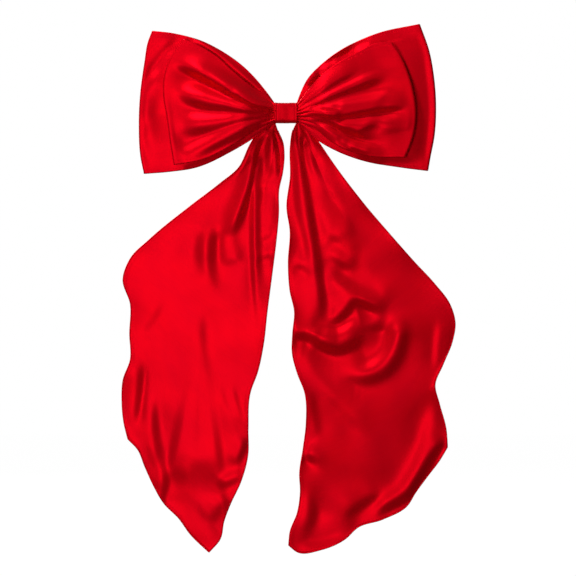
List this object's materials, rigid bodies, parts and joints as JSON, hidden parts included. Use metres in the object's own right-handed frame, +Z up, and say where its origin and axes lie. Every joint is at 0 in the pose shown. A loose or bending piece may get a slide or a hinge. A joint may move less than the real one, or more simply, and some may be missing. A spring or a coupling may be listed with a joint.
{
  "type": "hair bow",
  "caption": "Large red satin hair bow: double loops pinched in a centre wrap, long wavy tails with slanted ends, spring hair clip behind.",
  "frame": {"origin": "middle of the clip's hair gap, straight behind the knot", "axes": "+Z up as worn, -Y out of the bow's face, +Y towards the head, X along the clip"},
  "size_m": [0.228, 0.0343, 0.358],
  "materials": {
    "satin": "satin",
    "thread": "satin",
    "clip_steel": "satin",
    "spring_steel": "satin"
  },
  "bodies": {
    "knot": {"rear_waist": "satin", "front_waist": "satin", "tail_waist": "satin", "gathering_thread": "thread", "centre_wrap": "satin", "wrap_stitches": "thread", "barrette_base": "clip_steel", "hinge_pin": "clip_steel", "clasp_body": "spring_steel", "clasp_rivets": "clip_steel"},
    "left_loops": {"rear_loop_left": "satin", "front_loop_left": "satin"},
    "right_loops": {"rear_loop_right": "satin", "front_loop_right": "satin"},
    "left_tail": {"tail_left": "satin"},
    "right_tail": {"tail_right": "satin"},
    "arm": {"locking_arm": "clip_steel"},
    "bar": {"tension_bar": "spring_steel"},
    "upper_finger": {"clasp_finger_upper": "spring_steel"},
    "lower_finger": {"clasp_finger_lower": "spring_steel"}
  },
  "joints": [
    {"name": "left_loops_fold", "type": "hinge", "parent": "knot", "child": "left_loops", "pos_m": [-0.01375, -0.01495, 0], "axis": [0, 0, 1], "range_deg": [0, 40]},
    {"name": "right_loops_fold", "type": "hinge", "parent": "knot", "child": "right_loops", "pos_m": [0.01375, -0.01495, 0], "axis": [0, 0, -1], "range_deg": [0, 40]},
    {"name": "left_tail_swing", "type": "hinge", "parent": "knot", "child": "left_tail", "pos_m": [0, -0.0086, -0.0093], "axis": [-1, 0, 0], "range_deg": [-30, 30]},
    {"name": "right_tail_swing", "type": "hinge", "parent": "knot", "child": "right_tail", "pos_m": [0, -0.0086, -0.0093], "axis": [-1, 0, 0], "range_deg": [-30, 30]},
    {"name": "arm_hinge", "type": "hinge", "parent": "knot", "child": "arm", "pos_m": [-0.0375, 0.0036, 0], "axis": [0, 0, 1], "range_deg": [0, 75]},
    {"name": "bar_press", "type": "slide", "parent": "knot", "child": "bar", "axis": [0, -1, 0], "range_m": [0, 0.0012], "stiffness_N_per_m": 1500},
    {"name": "upper_finger_squeeze", "type": "hinge", "parent": "knot", "child": "upper_finger", "pos_m": [0.0355, -0.0041, 0.00215], "axis": [-1, 0, 0], "range_deg": [0, 6], "stiffness_Nm_per_rad": 0.35},
    {"name": "lower_finger_squeeze", "type": "hinge", "parent": "knot", "child": "lower_finger", "pos_m": [0.0355, -0.0041, -0.00215], "axis": [1, 0, 0], "range_deg": [0, 6], "stiffness_Nm_per_rad": 0.35}
  ]
}
